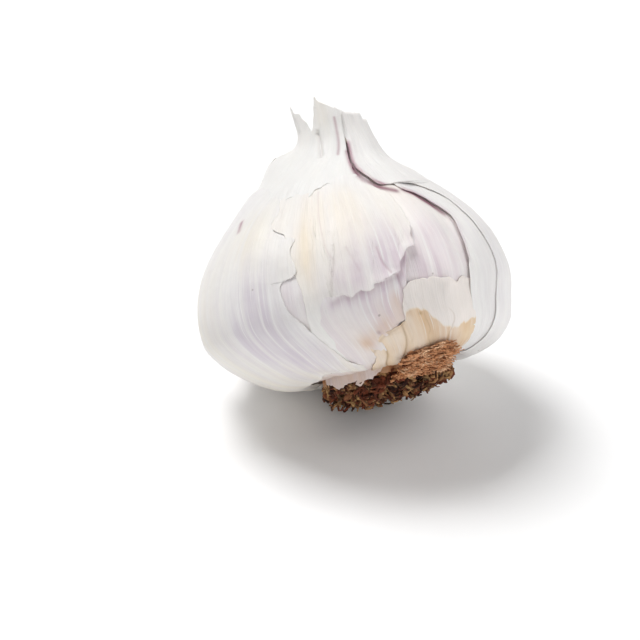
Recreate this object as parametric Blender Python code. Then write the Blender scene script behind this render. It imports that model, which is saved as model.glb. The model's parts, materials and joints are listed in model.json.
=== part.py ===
"""A bulb of garlic, lying as it comes to rest on the belly of its lower cloves and the edge of its root crown.

The bulb is drawn in its own frame and then tipped over. A point on it has an angle round the bulb, in degrees
(0 at the front, positive to the right), a run in millimetres up the side from the root crown to the neck's tip,
and a height above the bulb's own body, in millimetres. World: metres, +Z up, front towards -Y.
"""

import math

import bmesh
import bpy
import numpy as np

MM = 0.001

# The way the bulb lies, in degrees and millimetres.
LEAN_LEFT = 11.1
LEAN_BACK = 34.0
RESTING_PLACE = (2.61, -8.41, 10.9)

# Outline of the papery outside from the root crown to the neck's tip: radius, height above the crown.
OUTLINE = [
    (12.6, 1.2), (17.0, -0.2), (22.5, 1.6), (27.2, 5.6), (30.0, 10.5), (30.8, 14.8),
    (30.2, 19.3), (28.7, 23.5), (26.3, 27.4), (23.2, 31.0), (19.6, 34.3), (16.0, 37.1),
    (12.8, 39.6), (10.2, 42.2), (8.4, 45.0), (7.4, 48.0), (7.0, 51.0), (6.8, 54.0),
]
CROWN_SHIFT = 3.4
CROWN_TILT = 0.02
CROWN_FADE = 12.0
NECK_SHIFT = 3.2
NECK_START = 34.0
NECK_BEND = 12.0

# The valleys between neighbouring cloves, as angles round the bulb.
VALLEYS = [-155, -118, -90, -58, -24, 20, 49, 80, 115, 148, 174]
LOBE_SWELL = 0.9
MEAN_CREST = 0.7
BODY_VALLEY = 0.9
BODY_SHRINK = 0.15

# The ragged top of the stalk: waves of a height in millimetres, a number round it and a turn in degrees.
TOP_WAVES = [(1.2, 5, 0), (0.8, 11, 60)]
HOLLOW_TOP = 3.0

# Papery skins: thickness, the air under each, and so the rise from one layer to the next.
SKIN = 0.6
AIR = 0.38
LAYER = SKIN + AIR
OUTER = 2 * LAYER
RIB = 0.1

# How far a curl reaches in from the left, right, foot and top edge of a skin: degrees, degrees, mm, mm.
CURL_REACH = (5.0, 5.0, 4.0, 6.0)

# The mesh: columns round the body, degrees between a skin's columns, rows from crown to tip.
BODY_COLUMNS = 60
COLUMN_STEP = 7.0
ROWS = 20
STRAIGHT_SHARE = 0.012

# The root crown: profiles of radius and depth below the base of the bulb. At the right a ragged collar of the
# plate stands out over the husk, between two angles: what it adds to the plate's radii.
PLATE = [(11.6, -2.5), (12.3, -1.0), (12.3, -0.3), (12.3, 0.6), (11.2, 1.5)]
COLLAR = [0.0, 0.3, 4.6, 4.0, 0.6]
COLLAR_FROM, COLLAR_TO, COLLAR_FADE = 0.0, 57.0, 14.0
PLATE_COLUMNS, PLATE_WAVE = 36, 0.012
CROWN_GAP = 0.15
ROOT_CORE = [(9.9, 1.85), (10.5, 2.7), (9.8, 3.7), (5.5, 4.3)]
CORE_COLUMNS, CORE_WAVE = 30, 0.02

# Waves of the crown's sides: a number round it and a turn in degrees.
SIDE_WAVES = [(7, 0), (13, 40)]

# The roots, in millimetres and degrees. Those outside a share of the crown's radius are rim roots.
ROOT_START = 2.9
ROOT_COUNT = 96
ROOT_POINTS = 4
ROOT_WIDTH = (0.5, 0.68)
ROOT_TIP = 0.6
ROOT_REST = 0.6
RIM_SHARE = 0.84
INNER_RADIUS, INNER_REACH, INNER_DROP = 9.8, (0.3, 1.5), (1.5, 2.7)
RIM_RADIUS, RIM_REACH, RIM_CURL = 9.3, 2.6, (-1.2, 1.6)
RIM_START = ROOT_START + 0.3
LOWEST_ANGLE = -156.0
SEED = 7


def smooth_line(points, per_span=10):
    """Catmull-Rom curve through the points, as an array of rows."""
    p = np.array(points, float)
    p = np.vstack([2 * p[0] - p[1], p, 2 * p[-1] - p[-2]])
    t = np.linspace(0, 1, per_span, endpoint=False)[:, None]
    spans = [
        0.5 * (2 * b + (c - a) * t + (2 * a - 5 * b + 4 * c - d) * t**2 + (3 * b - a - 3 * c + d) * t**3)
        for a, b, c, d in zip(p[:-3], p[1:-2], p[2:-1], p[3:])
    ]
    return np.vstack([*spans, p[-2:-1]])


def ramp(x):
    """Smooth step from 0 to 1."""
    x = np.clip(x, 0.0, 1.0)
    return x * x * (3 - 2 * x)


LINE = smooth_line(OUTLINE)
RUN = np.concatenate([[0.0], np.cumsum(np.linalg.norm(np.diff(LINE, axis=0), axis=1))])
ALONG = np.gradient(LINE, RUN, axis=0)
ALONG /= np.linalg.norm(ALONG, axis=1)[:, None]
TIP = RUN[-1]

# Rows stand closer together where the outline bends more: ROW counts them up the side.
BEND = np.linalg.norm(np.gradient(ALONG, RUN, axis=0), axis=1)
ROW = np.concatenate([[0.0], np.cumsum(np.diff(RUN) * np.sqrt(BEND[1:] + STRAIGHT_SHARE))])
ROW *= ROWS / ROW[-1]


def lobes(angle, height):
    """Share of a clove's swell at an angle: 1 on its crest and 0 in a valley, fading at the neck."""
    edges = np.array([*VALLEYS, VALLEYS[0] + 360], float)
    turn = (np.asarray(angle, float) - edges[0]) % 360 + edges[0]
    k = np.clip(np.searchsorted(edges, turn, side="right") - 1, 0, len(VALLEYS) - 1)
    share = (turn - edges[k]) / (edges[k + 1] - edges[k])
    crest = np.sin(math.pi * share) ** 2
    return crest, ramp((height + 1) / 8) * (1 - ramp((height - 22) / 18))


def bulb_point(angle, run, rise):
    """Where a point of the bulb is in its own frame, before it is tipped over.

    The outline is turned round the bulb's axis, pushed out by rise along its normal, swollen over each clove,
    and shifted sideways at the crown and the neck, because the bulb grew a little crooked.
    """
    radius = np.interp(run, RUN, LINE[:, 0])
    height = np.interp(run, RUN, LINE[:, 1])
    out_r = np.interp(run, RUN, ALONG[:, 1])
    out_h = -np.interp(run, RUN, ALONG[:, 0])
    crest, strength = lobes(angle, height)
    rise = rise - OUTER + LOBE_SWELL * (crest - MEAN_CREST) * strength
    radius = radius + rise * out_r
    around = np.radians(angle)
    low = 1 - ramp(height / CROWN_FADE)
    side = radius * np.sin(around)
    x = CROWN_SHIFT * low + NECK_SHIFT * ramp((height - NECK_START) / NECK_BEND) + side
    z = height + rise * out_h + CROWN_TILT * side * low
    return np.stack(np.broadcast_arrays(x, -radius * np.cos(around), z), axis=-1)


def resting_turn():
    """The three directions of the bulb's own frame in the world, as the columns of a matrix."""
    left, back = math.radians(LEAN_LEFT), math.radians(LEAN_BACK)
    axis = np.array([-math.sin(left), math.cos(left) * math.sin(back), math.cos(left) * math.cos(back)])
    right = np.array([math.cos(left), math.sin(left) * math.sin(back), math.sin(left) * math.cos(back)])
    return np.stack([right, np.cross(axis, right), axis], axis=1)


TURN = resting_turn()


def rest(points, floor=None):
    """Points of the bulb's frame tipped over into the world, and pressed flat where they meet the surface."""
    world = points @ TURN.T + np.array(RESTING_PLACE)
    if floor is not None:
        world[..., 2] = np.maximum(world[..., 2], floor)
    return world


def floor_under(rise):
    """How far above the surface a layer is pressed flat: the layers under it keep their places."""
    return np.maximum(OUTER - rise, 0.0)


def material(name, colour, roughness):
    made = bpy.data.materials.new(name)
    made.use_nodes = True
    shader = made.node_tree.nodes["Principled BSDF"]
    shader.inputs["Base Color"].default_value = (*colour, 1)
    shader.inputs["Roughness"].default_value = roughness
    made.diffuse_color = (*colour, 1)
    return made


def add_object(name, points_mm, faces, finish):
    """A named object from points in millimetres, with the faces that it is given."""
    mesh = bpy.data.meshes.new(name)
    mesh.from_pydata((np.asarray(points_mm) * MM).tolist(), [], [tuple(map(int, f)) for f in faces])
    mesh.validate()
    obj = bpy.data.objects.new(name, mesh)
    obj.data.materials.append(finish)
    bpy.context.scene.collection.objects.link(obj)
    mesh.shade_smooth()
    mesh.set_sharp_from_angle(angle=math.radians(40))
    return obj


def grid_triangles(points, wrap=False):
    """Two triangles a cell, split along its shorter diagonal, on a grid of points.

    They run counter-clockwise from outside where the grid's rows go up and its columns go right.
    """
    rows, columns = points.shape[:2]
    i, j = np.meshgrid(np.arange(rows - 1), np.arange(columns if wrap else columns - 1), indexing="ij")
    a = (i * columns + j).ravel()
    b = (i * columns + (j + 1) % columns).ravel()
    c, d = b + columns, a + columns
    at = points.reshape(-1, 3)
    rising = np.linalg.norm(at[c] - at[a], axis=1) <= np.linalg.norm(at[d] - at[b], axis=1) + 1e-6
    first = np.stack([a, b, np.where(rising, c, d)], -1)
    second = np.stack([np.where(rising, a, b), c, d], -1)
    return np.concatenate([first, second])


def bulb_body(finish):
    """The cloves in their tight inner skin, with the stalk that they stand round: one lobed solid.

    The rows of points go up to the stalk's ragged and hollow top.
    """
    angle = np.linspace(-180, 180, BODY_COLUMNS, endpoint=False)
    torn = sum(size * np.sin(np.radians(number * angle + turn)) for size, number, turn in TOP_WAVES)
    run = np.interp(np.arange(ROWS - 1), ROW, RUN)[:, None] + np.zeros_like(angle)
    run[-1] += torn
    crest, strength = lobes(angle, np.interp(run, RUN, LINE[:, 1]))
    rise = -BODY_SHRINK - BODY_VALLEY * (1 - crest) * strength
    points = rest(bulb_point(angle, run, rise), floor_under(0.0))
    base = rest(bulb_point(np.array([0.0, 180.0]), 0.0, 0.0)).mean(axis=0)
    top = points[-1].mean(axis=0) - HOLLOW_TOP * TURN[:, 2]
    faces = grid_triangles(points, wrap=True)
    count = run.size
    first = np.arange(BODY_COLUMNS)
    following = (first + 1) % BODY_COLUMNS
    last = first + count - BODY_COLUMNS
    base_fan = np.stack([following, first, np.full_like(first, count)], -1)
    top_fan = np.stack([last, following + count - BODY_COLUMNS, np.full_like(first, count + 1)], -1)
    points = np.vstack([points.reshape(-1, 3), base, top])
    return add_object("bulb_of_cloves", points, [*faces, *base_fan, *top_fan], finish)


def edge_at(points, share, measure):
    """A hand-drawn edge read at shares of its way. measure gives each of its points a place on that way."""
    p = np.array(points, float)
    way = np.maximum.accumulate(measure(p))
    way = (way - way[0]) / (way[-1] - way[0])
    return np.stack([np.interp(share, way, p[:, 0]), np.interp(share, way, p[:, 1])], axis=-1)


def row_of(points):
    return np.interp(points[:, 1], RUN, ROW)


def angle_of(points):
    return points[:, 0]


def row_shares(foot, top):
    """Shares of the way from one run to another at which the common rows lie, ends included."""
    low, high = np.interp([foot, top], RUN, ROW)
    inner = np.arange(math.ceil(low + 0.35), high - 0.3)
    return (np.concatenate([[low], inner, [high]]) - low) / (high - low)


def skin_grid(left, right, foot, top, s, t):
    """Angle and run on a grid between four edges.

    A point is the blend of the two side edges, moved by how far the foot and top edges stray from straight
    lines; that move dies away quickly from each edge.
    """
    l, r = edge_at(left, t, row_of)[:, None], edge_at(right, t, row_of)[:, None]
    f, h = edge_at(foot, s, angle_of)[None], edge_at(top, s, angle_of)[None]
    s, t = s[None, :, None], t[:, None, None]
    flat_f = (1 - s) * l[:1] + s * r[:1]
    flat_h = (1 - s) * l[-1:] + s * r[-1:]
    grid = (1 - s) * l + s * r + (1 - t) ** 3 * (f - flat_f) + t**3 * (h - flat_h)
    return grid[..., 0], grid[..., 1]


def papery_skin(name, finish, layer, left, right, foot=None, top=None, lifts=(0, 0, 0, 0), wing=None):
    """One dry leaf wrapped round the bulb: a sheet between four torn edges, curling up where lifts says.

    lifts are the heights in millimetres that the left, right, foot and top edges stand up. A wing is a place
    where the leaf stands off the bulb: its height, its angle and run, and how far it reaches in each.
    """
    foot = foot or [left[0], right[0]]
    top = top or [left[-1], right[-1]]
    span = max(abs(right[0][0] - left[0][0]), abs(right[-1][0] - left[-1][0]))
    length = max(left[-1][1] - left[0][1], right[-1][1] - right[0][1])
    s = np.linspace(0, 1, max(4, round(span / COLUMN_STEP) + 1))
    t = row_shares(left[0][1], left[-1][1])
    rows, columns = len(t), len(s)
    angle, run = skin_grid(left, right, foot, top, s, t)
    s, t = s[None, :], t[:, None]
    from_sides = (s * span, (1 - s) * span, t * length, (1 - t) * length)
    curl = sum(h * np.exp(-((d / w) ** 2)) for h, d, w in zip(lifts, from_sides, CURL_REACH))
    if wing:
        height, at, reach = wing
        curl = curl + height * np.exp(-((angle - at[0]) / reach[0]) ** 2 - ((run - at[1]) / reach[1]) ** 2)
    ribs = RIB * (np.arange(columns) % 2) * np.ones((rows, 1))
    low = (layer - 1) * LAYER + AIR + curl + ribs
    outer = rest(bulb_point(angle, run, low + SKIN), floor_under((layer - 1) * LAYER + AIR + SKIN))
    inner = rest(bulb_point(angle, run, low), floor_under((layer - 1) * LAYER + AIR))
    count = rows * columns
    front = grid_triangles(outer)
    back = front[:, ::-1] + count
    index = np.arange(count).reshape(rows, columns)
    loop = np.concatenate([index[0, :-1], index[:-1, -1], index[-1, :0:-1], index[:0:-1, 0]])
    onward = np.roll(loop, -1)
    rim_a = np.stack([onward, loop, loop + count], -1)
    rim_b = np.stack([onward, loop + count, onward + count], -1)
    points = np.vstack([outer.reshape(-1, 3), inner.reshape(-1, 3)])
    return add_object(name, points, [*front, *back, *rim_a, *rim_b], finish)


def crown_point(radius, angle, depth):
    """A point of the root crown: radius from its centre, angle round it, depth below the bulb's base."""
    around = np.radians(angle)
    side = radius * np.sin(around)
    return np.stack(
        np.broadcast_arrays(CROWN_SHIFT + side, -radius * np.cos(around), CROWN_TILT * side - depth), axis=-1
    )


def turned_piece(name, finish, profile, columns, wave, collar=(0.0,)):
    """A disc turned from a profile of radius and depth, top first, with a wavy side and a ragged collar."""
    angle = np.linspace(-180, 180, columns, endpoint=False)
    radius, depth = (np.array(v, float)[:, None] for v in zip(*profile))
    ripple = 1 + wave * sum(np.sin(np.radians(number * angle + turn)) for number, turn in SIDE_WAVES)
    bump = ramp((angle - COLLAR_FROM) / COLLAR_FADE) * ramp((COLLAR_TO - angle) / COLLAR_FADE)
    radius = radius * ripple + np.array(collar)[:, None] * bump
    points = rest(crown_point(radius, angle, depth), CROWN_GAP)[::-1]
    top = rest(crown_point(0.0, 0.0, profile[0][1]))
    bottom = rest(crown_point(0.0, 0.0, profile[-1][1]))
    count = radius.size
    first = np.arange(columns)
    following = (first + 1) % columns
    last = count - columns
    base_fan = np.stack([following, first, np.full_like(first, count)], -1)
    top_fan = np.stack([first + last, following + last, np.full_like(first, count + 1)], -1)
    faces = [*grid_triangles(points, wrap=True), *base_fan, *top_fan]
    return add_object(name, np.vstack([points.reshape(-1, 3), bottom, top]), faces, finish)


def root_line(draw, k):
    """Centre line of one dry root out of the core: down in the middle, curling out and up or down at the rim.

    Rim roots on the side that is lowest as the bulb lies reach down to the surface.
    """
    share = math.sqrt((k + 0.5) / ROOT_COUNT)
    angle = math.degrees(k * math.pi * (3 - math.sqrt(5))) + draw.uniform(-6, 6)
    swirl = draw.uniform(-12, 12)
    t = np.linspace(0, 1, ROOT_POINTS)
    if share < RIM_SHARE:
        reach = draw.uniform(*INNER_REACH)
        drop = draw.uniform(*INNER_DROP)
        line = crown_point(INNER_RADIUS * share + reach * t**1.5, angle + swirl * t**2, ROOT_START + drop * t)
    else:
        under = max(math.cos(math.radians(angle - LOWEST_ANGLE)), 0.0)
        curl = draw.uniform(*RIM_CURL) * (1 - under) - RIM_REACH * under
        reach = RIM_REACH + under
        line = crown_point(RIM_RADIUS + reach * t**0.8, angle + 1.6 * swirl * t**1.5, RIM_START - curl * t**2)
    return rest(line, ROOT_REST)


def tube(name, line, width, finish, sides=3):
    """A tapering tube along a line of points, closed at both ends."""
    step = np.gradient(line, axis=0)
    step /= np.linalg.norm(step, axis=1)[:, None]
    across = np.cross(step, [0.31, 0.87, 0.38])
    across /= np.linalg.norm(across, axis=1)[:, None]
    over = np.cross(step, across)
    turn = np.radians(np.arange(sides) * 360 / sides)
    taper = np.linspace(1.0, ROOT_TIP, len(line))[:, None, None] * width
    ring = across[:, None] * np.cos(turn)[None, :, None] + over[:, None] * np.sin(turn)[None, :, None]
    points = line[:, None] + taper * ring
    last = (len(line) - 1) * sides
    ends = [tuple(range(sides))[::-1], tuple(range(last, last + sides))]
    return add_object(name, points.reshape(-1, 3), [*grid_triangles(points, wrap=True), *ends], finish)


def keep_largest_body(mesh):
    """Drop the loose scraps and the sealed hollows that a union leaves, and keep the main body."""
    bm = bmesh.new()
    bm.from_mesh(mesh)
    unseen = set(bm.verts)
    bodies = []
    while unseen:
        body = set()
        edge = {next(iter(unseen))}
        while edge:
            body |= edge
            edge = {e.other_vert(v) for v in edge for e in v.link_edges} - body
        bodies.append(body)
        unseen -= body
    bodies.sort(key=len)
    bmesh.ops.delete(bm, geom=[v for body in bodies[:-1] for v in body], context="VERTS")
    bm.to_mesh(mesh)
    bm.free()


def root_tuft(finish):
    """The matted stubs of dry roots, joined to the thin core that they stand out of."""
    draw = np.random.default_rng(SEED)
    tuft = turned_piece("root_tuft", finish, ROOT_CORE, CORE_COLUMNS, CORE_WAVE)
    strands = bpy.data.collections.new("strands")
    bpy.context.scene.collection.children.link(strands)
    for k in range(ROOT_COUNT):
        strand = tube(f"strand_{k}", root_line(draw, k), draw.uniform(*ROOT_WIDTH), finish)
        bpy.context.scene.collection.objects.unlink(strand)
        strands.objects.link(strand)
    joined = tuft.modifiers.new("join", "BOOLEAN")
    joined.operation = "UNION"
    joined.operand_type = "COLLECTION"
    joined.collection = strands
    joined.solver = "MANIFOLD"
    graph = bpy.context.evaluated_depsgraph_get()
    mesh = bpy.data.meshes.new_from_object(tuft.evaluated_get(graph))
    keep_largest_body(mesh)
    tuft.modifiers.clear()
    tuft.data = mesh
    for strand in list(strands.objects):
        bpy.data.objects.remove(strand)
    bpy.data.collections.remove(strands)
    return tuft


def skins(cream, white, lilac, tan):
    """The papery skins, from the inner layer to the outer one. Every edge is a list of (angle, run)."""
    papery_skin(
        "front_under_skin", lilac, 1,
        left=[(-62, 1), (-62, 60)],
        right=[
            (-14.5, 1), (-9.5, 11.8), (-6.5, 15), (10, 17.2), (15.5, 18.4), (19, 21.4), (18.6, 24), (19, 28),
            (22, 34), (24, 40), (23, 60),
        ],
    )
    papery_skin(
        "base_husk", tan, 1,
        left=[(-12.5, 1), (-8, 10.8), (-5, 14)],
        right=[(46, 1), (46, 24)],
        top=[
            (-5, 14), (11.5, 16.3), (16, 17.8), (20.5, 21.4), (25, 24.4), (33.5, 24.7), (40, 23.4), (46, 24),
        ],
    )
    papery_skin(
        "right_under_skin", white, 1,
        left=[
            (47.6, 1), (47.6, 24), (49, 29.2), (50, 34.2), (52, 39), (47, 42.7), (42, 46), (36, 49), (34, 60),
        ],
        right=[(112, 1), (112, 60)],
    )
    papery_skin(
        "back_under_skin_right", white, 1,
        left=[(113.6, 1), (113.6, 60)],
        right=[(192, 1), (192, 60)],
    )
    papery_skin(
        "back_under_skin_left", lilac, 1,
        left=[(-166.4, 1), (-166.4, 60)],
        right=[(-63.6, 1), (-63.6, 60)],
    )
    papery_skin(
        "front_flap", cream, 2,
        left=[
            (-14.5, 13), (-16, 17), (-18, 22), (-18.5, 27), (-18.3, 36), (-18.8, 40.6), (-26.5, 42.6),
            (-31.5, 45.2), (-29, 48.6), (-34.3, 53.6), (-37.6, 60), (-37.6, 66),
        ],
        right=[(22, 29), (24.5, 32.7), (26, 36), (27, 46), (19, 52.9), (12.5, 58.8), (8, 65), (8, 71)],
        foot=[
            (-14.5, 13), (-11, 15), (-9, 19), (-7, 24), (-4.5, 26.1), (0, 25.3), (8.5, 26.7), (13, 28.2),
            (22, 29),
        ],
        top=[(-37.6, 66), (-12, 69), (8, 71)],
        lifts=(0, 0.3, 0.35, 0),
    )
    papery_skin(
        "left_outer_skin", white, 2,
        left=[(-122, 1.5), (-122, 66)],
        right=[
            (-8, 6.5), (-17.5, 11.7), (-19.5, 17.7), (-22, 21.7), (-26.5, 25.6), (-26.5, 30.4),
            (-20, 32), (-20, 33.6), (-22, 37.3), (-20.5, 39.7), (-28.5, 41.5), (-33.5, 44.4),
            (-31, 48.1), (-36.5, 53.1), (-40, 60), (-40, 66),
        ],
        foot=[(-122, 1.5), (-75, 3), (-55, 6), (-41.5, 8.4), (-33, 9.9), (-22, 9.3), (-8, 6.5)],
        lifts=(0, 0.35, 0.3, 0),
    )
    papery_skin(
        "right_outer_skin", white, 2,
        left=[
            (60, 1.5), (61, 18), (64, 28), (62.5, 35.4), (62, 40), (62, 44.1), (56.5, 47.8), (50, 50),
            (34, 51), (23, 52.9), (15.5, 58.8), (11.5, 65.5), (11, 73.2),
        ],
        right=[(158, 1.5), (158, 71)],
        top=[(11, 73.2), (50, 72), (85, 70.5), (120, 72), (158, 71)],
        lifts=(0.9, 0, 0, 0.5),
    )
    papery_skin(
        "back_outer_skin", cream, 2,
        left=[(-200.4, 1.5), (-200.4, 68)],
        right=[(-123.6, 1.5), (-123.6, 62)],
        top=[(-200.4, 68), (-175, 64.5), (-150, 67), (-123.6, 62)],
        lifts=(0, 0, 0, 0.6),
    )
    papery_skin(
        "neck_wrap", white, 3,
        left=[(-112, 57), (-118, 62)],
        right=[(2, 53.6), (-3, 59), (0, 66), (7.5, 73)],
        foot=[(-112, 57), (-80, 55.5), (-38, 50.8), (-12.5, 50.9), (-6.5, 52.9), (2, 53.6)],
        top=[(-118, 62), (-88, 62.5), (-84, 66.5), (-68, 74), (-48, 69), (-36, 74.6), (-12, 74.2), (7.5, 73)],
        lifts=(0.2, 0.3, 0.2, 0.6),
        wing=(2.8, (-104, 62), (18, 5)),
    )


def main():
    for obj in list(bpy.data.objects):
        bpy.data.objects.remove(obj)
    cream = material("cream papery skin", (0.86, 0.80, 0.70), 0.55)
    white = material("white papery skin", (0.88, 0.86, 0.82), 0.5)
    lilac = material("lilac-grey inner skin", (0.74, 0.66, 0.70), 0.45)
    tan = material("tan basal husk", (0.72, 0.55, 0.38), 0.7)
    corky = material("corky basal plate", (0.47, 0.29, 0.16), 0.85)
    brown = material("dry brown roots", (0.22, 0.12, 0.06), 0.85)
    bulb_body(lilac)
    skins(cream, white, lilac, tan)
    turned_piece("basal_plate", corky, PLATE, PLATE_COLUMNS, PLATE_WAVE, COLLAR)
    root_tuft(brown)


main()
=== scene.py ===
"""A dry garlic bulb: papery skins, neck, corky plate and matted roots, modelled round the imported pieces.

A point of the bulb has an angle round it in degrees (0 in front, positive to the right), a run in
millimetres up its side from the root crown to the tip of the neck, and a rise in millimetres, which is
SURFACE_RISE on the plain outline and more outside it. Every skin is a sheet between four torn edges given
in those terms. In the tints and bends of the leaves, a stands for the angle and m for the run.
"""

import json
import math

import bpy
import numpy as np
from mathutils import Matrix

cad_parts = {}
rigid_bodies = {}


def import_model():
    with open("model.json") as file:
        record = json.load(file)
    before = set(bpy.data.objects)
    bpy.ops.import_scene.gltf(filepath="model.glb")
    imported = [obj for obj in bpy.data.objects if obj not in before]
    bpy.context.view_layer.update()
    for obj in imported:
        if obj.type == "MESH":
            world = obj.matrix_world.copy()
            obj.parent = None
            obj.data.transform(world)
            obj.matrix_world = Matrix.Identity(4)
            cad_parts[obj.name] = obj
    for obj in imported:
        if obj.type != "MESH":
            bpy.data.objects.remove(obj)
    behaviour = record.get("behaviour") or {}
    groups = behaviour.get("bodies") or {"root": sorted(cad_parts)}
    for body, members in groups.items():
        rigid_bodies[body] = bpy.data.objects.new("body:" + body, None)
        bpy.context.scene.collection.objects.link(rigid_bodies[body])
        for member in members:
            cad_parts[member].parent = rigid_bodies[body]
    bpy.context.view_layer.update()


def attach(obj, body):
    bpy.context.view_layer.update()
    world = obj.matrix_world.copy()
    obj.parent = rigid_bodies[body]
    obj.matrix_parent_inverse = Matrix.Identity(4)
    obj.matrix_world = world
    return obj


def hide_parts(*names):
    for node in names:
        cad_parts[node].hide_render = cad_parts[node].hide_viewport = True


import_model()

MM = 0.001
DEGREE = np.radians(1)

# The way the bulb lies, in degrees and millimetres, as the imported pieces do.
LEAN_LEFT = 11.1
LEAN_BACK = 34.0
RESTING_PLACE = np.array([2.61, -8.41, 10.9])

# Outline of the papery outside from the root crown to the neck's tip: radius, height above the crown.
OUTLINE = [
    (12.6, 1.2), (17.0, -0.2), (22.5, 1.6), (27.2, 5.6), (30.0, 10.5), (30.8, 14.8),
    (30.2, 19.3), (28.7, 23.5), (26.3, 27.4), (23.2, 31.0), (19.6, 34.3), (16.0, 37.1),
    (12.8, 39.6), (10.2, 42.2), (8.4, 45.0), (7.4, 48.0), (7.0, 51.0), (6.8, 54.0),
]
CROWN_SHIFT = 3.4
CROWN_TILT = 0.02
CROWN_FADE = 12.0
NECK_SHIFT = 3.2
NECK_START = 34.0
NECK_BEND = 12.0

# The cloves' relief: the valleys between them, their swell, and its share that lies inside the outline.
VALLEYS = [-155, -118, -90, -58, -24, 20, 49, 80, 115, 148, 174]
LOBE_SWELL = 0.9
LOBE_LEVEL = 0.7

# The leaves' relief: veins, the run at which they gather into folds, and how much slimmer the neck gets.
VEINS_ROUND = 68
VEIN_HEIGHT = 0.06
GATHER_START, GATHER_LENGTH = 46, 16
SLIM, SLIM_AT_RIGHT = 1.0, 0.45
SLIM_START, SLIM_LENGTH = 54, 10

# Rises of the layers of skin, from the cloves outwards, and of the plain outline, the thickness of one dry
# leaf, and the gap that keeps the lowest points off the plane of the floor. All are in millimetres.
CLOVES = 0.95
UNDER = 1.2
FLAP = 1.5
BACK_OUTER = 1.68
OUTER = 1.86
WRAP = 2.15
SURFACE_RISE = 1.96
LEAF = 0.13
FLOOR_GAP = 0.03

# A leaf's torn edge is a sum of noises of a length and a height, and dies out at its ends. Its wrinkles are
# noises of a width in degrees, a length and a share. Its edge sinks and curls within these distances in mm.
TEARS = ((3.4, 0.7), (1.3, 0.8), (0.5, 0.5))
TEAR_FADE = 1.5
WRINKLES = ((4.1, 5.3, 1.0), (1.9, 2.1, 0.5))
HUG_REACH = 4.5
CURL_REACH = 1.5

# The photograph: its size in pixels, the pixel that shows the crown's centre, and its pixels a millimetre.
PHOTO_SIZE = 640
CROWN_PIXEL = (368.6, 376.2)
PHOTO_SCALE = 5.2
CAMERA_ELEVATION = 30.0
CAMERA_DISTANCE = 550.0
SENSOR_WIDTH = 36.0

# The studio, in metres and watts: each lamp's place, power and width, what they aim at, and the even light.
LAMPS = (
    ("key", (-0.34, 0.27, 0.82), 7.4, 0.45),
    ("front fill", (0.40, -0.88, 0.30), 4.3, 0.9),
    ("right fill", (0.74, 0.12, 0.50), 3.0, 0.6),
    ("left fill", (-0.88, -0.30, 0.34), 1.0, 0.6),
)
LAMP_AIM = (0, 0, 0.03)
EVEN_LIGHT = 0.11
FLOOR_HALF = 3.0


def smooth_line(points, per_span=12):
    """Cubic curve through the points, as rows. Its slope at each is half the way between its neighbours."""
    p = np.array(points, float)
    p = np.vstack([2 * p[0] - p[1], p, 2 * p[-1] - p[-2]])
    t = np.linspace(0, 1, per_span, endpoint=False)[:, None]
    spans = [
        0.5 * (2 * b + (c - a) * t + (2 * a - 5 * b + 4 * c - d) * t**2 + (3 * b - a - 3 * c + d) * t**3)
        for a, b, c, d in zip(p[:-3], p[1:-2], p[2:-1], p[3:])
    ]
    return np.vstack([*spans, p[-2:-1]])


def stacked(*parts):
    """Arrays and numbers side by side along a new last axis, all brought to one shape."""
    return np.stack(np.broadcast_arrays(*parts), axis=-1)


def ramp(x):
    """Smooth step: 0 below 0, 1 above 1, and 3x^2 - 2x^3 between."""
    x = np.clip(x, 0.0, 1.0)
    return x * x * (3 - 2 * x)


LINE = smooth_line(OUTLINE)
RUN = np.concatenate([[0.0], np.cumsum(np.linalg.norm(np.diff(LINE, axis=0), axis=1))])
ALONG = np.gradient(LINE, RUN, axis=0)
ALONG /= np.linalg.norm(ALONG, axis=1)[:, None]
TIP = RUN[-1]


def resting_turn():
    """The three directions of the bulb's own frame in the world, as the columns of a matrix."""
    left, back = math.radians(LEAN_LEFT), math.radians(LEAN_BACK)
    axis = np.array([-math.sin(left), math.cos(left) * math.sin(back), math.cos(left) * math.cos(back)])
    right = np.array([math.cos(left), math.sin(left) * math.sin(back), math.sin(left) * math.cos(back)])
    return np.stack([right, np.cross(axis, right), axis], axis=1)


TURN = resting_turn()


def noise(u, v, seed, around=64):
    """Smooth heights from -1 to 1: random at whole u and v, eased between. u repeats after around."""
    table = np.random.default_rng(seed).uniform(-1, 1, (around, 64))
    i, j = np.floor(u).astype(int), np.floor(v).astype(int)
    a, b = ramp(u - i), ramp(v - j)
    near = table[i % around, j % 64] * (1 - b) + table[i % around, (j + 1) % 64] * b
    far = table[(i + 1) % around, j % 64] * (1 - b) + table[(i + 1) % around, (j + 1) % 64] * b
    return near * (1 - a) + far * a


def rough(angle, run, *layers):
    """Sum of noises on the bulb's side, closed all the way round it. Each layer is its count of cells round
    the bulb, their length in millimetres, its seed and its height.
    """
    return sum(
        height * noise(angle * count / 360, run / length, seed, count)
        for count, length, seed, height in layers
    )


def lobes(angle, height):
    """A clove's swell, 1 on its crest and 0 in a valley, and its strength, less at crown and neck."""
    edges = np.array([*VALLEYS, VALLEYS[0] + 360], float)
    turn = (angle - edges[0]) % 360 + edges[0]
    k = np.clip(np.searchsorted(edges, turn, side="right") - 1, 0, len(VALLEYS) - 1)
    share = (turn - edges[k]) / (edges[k + 1] - edges[k])
    return np.sin(math.pi * share) ** 2, ramp((height + 1) / 8) * (1 - ramp((height - 22) / 18))


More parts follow.
